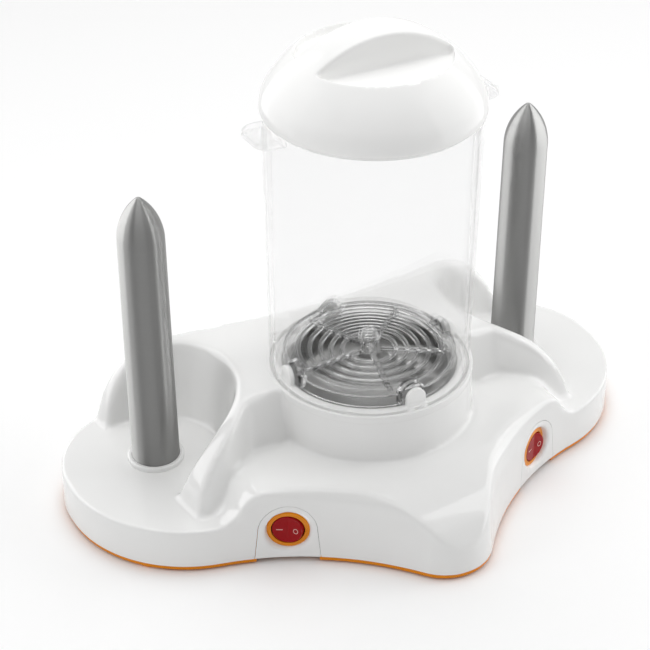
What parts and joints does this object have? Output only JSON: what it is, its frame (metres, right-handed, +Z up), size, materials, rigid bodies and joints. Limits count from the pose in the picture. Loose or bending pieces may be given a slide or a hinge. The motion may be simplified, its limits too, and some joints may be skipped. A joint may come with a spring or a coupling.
{
  "type": "hot dog steamer",
  "caption": "Countertop steamer with a three-lobed base, heated bun spikes in guard walls, a clear lidded jar over a boiler pan, and rocker switches.",
  "frame": {"origin": "on the table, under the middle of the overall box", "axes": "+X to the right lobe, -Y out of the nose, +Z up"},
  "size_m": [0.3456, 0.1976, 0.2757],
  "materials": {
    "white_plastic": "glossy",
    "orange_plastic": "glossy",
    "red_plastic": "glossy",
    "black_plastic": "matt",
    "ivory_plastic": "matt",
    "clear_plastic": "clear",
    "spike_steel": "satin",
    "pan_steel": "polished",
    "screw_steel": "plain",
    "element_steel": "plain",
    "cast_aluminium": "cast",
    "silicone": "soft",
    "black_rubber": "soft"
  },
  "bodies": {
    "base": {"upper_housing": "white_plastic", "base_plate": "orange_plastic", "foot_nose": "orange_plastic", "foot_left_front": "orange_plastic", "foot_left_back": "orange_plastic", "foot_right_front": "orange_plastic", "foot_right_back": "orange_plastic", "boiler_pan": "pan_steel", "boiler_seal": "silicone", "element_spreader": "cast_aluminium", "boiler_element": "element_steel", "element_clamp": "screw_steel", "thermostat": "black_plastic", "thermal_fuse": "ivory_plastic", "cord_gland": "black_rubber", "cord_clamp": "black_plastic", "terminal_block": "ivory_plastic", "left_spike": "spike_steel", "left_spike_ring": "white_plastic", "left_spike_heater": "element_steel", "left_spike_holder": "black_plastic", "left_holder_screw_front": "screw_steel", "left_holder_screw_back": "screw_steel", "left_clamp_screw": "screw_steel", "left_switch_panel": "white_plastic", "left_switch_bezel": "orange_plastic", "left_switch_body": "black_plastic", "right_spike": "spike_steel", "right_spike_ring": "white_plastic", "right_spike_heater": "element_steel", "right_spike_holder": "black_plastic", "right_holder_screw_front": "screw_steel", "right_holder_screw_back": "screw_steel", "right_clamp_screw": "screw_steel", "right_switch_panel": "white_plastic", "right_switch_bezel": "orange_plastic", "right_switch_body": "black_plastic", "housing_screw_1": "screw_steel", "housing_screw_2": "screw_steel", "housing_screw_3": "screw_steel", "housing_screw_4": "screw_steel", "housing_screw_5": "screw_steel", "housing_screw_6": "screw_steel", "housing_screw_7": "screw_steel"},
    "jar": {"steam_jar": "clear_plastic"},
    "lid": {"lid": "white_plastic"},
    "tray": {"sausage_tray": "clear_plastic"},
    "left_rocker": {"left_rocker": "red_plastic"},
    "right_rocker": {"right_rocker": "red_plastic"}
  },
  "joints": [
    {"name": "jar_lift", "type": "slide", "parent": "base", "child": "jar", "axis": [0, 0, 1], "range_m": [0, 0.15]},
    {"name": "lid_lift", "type": "slide", "parent": "jar", "child": "lid", "axis": [0, 0, 1], "range_m": [0, 0.08]},
    {"name": "tray_lift", "type": "slide", "parent": "base", "child": "tray", "axis": [0, 0, 1], "range_m": [0, 0.12]},
    {"name": "left_rocker_swing", "type": "hinge", "parent": "base", "child": "left_rocker", "pos_m": [-0.07772, -0.03781, 0.021], "axis": [0, 0, 1], "range_deg": [0, 18]},
    {"name": "right_rocker_swing", "type": "hinge", "parent": "base", "child": "right_rocker", "pos_m": [0.07772, -0.03781, 0.021], "axis": [0, 0, 1], "range_deg": [0, 18]}
  ]
}
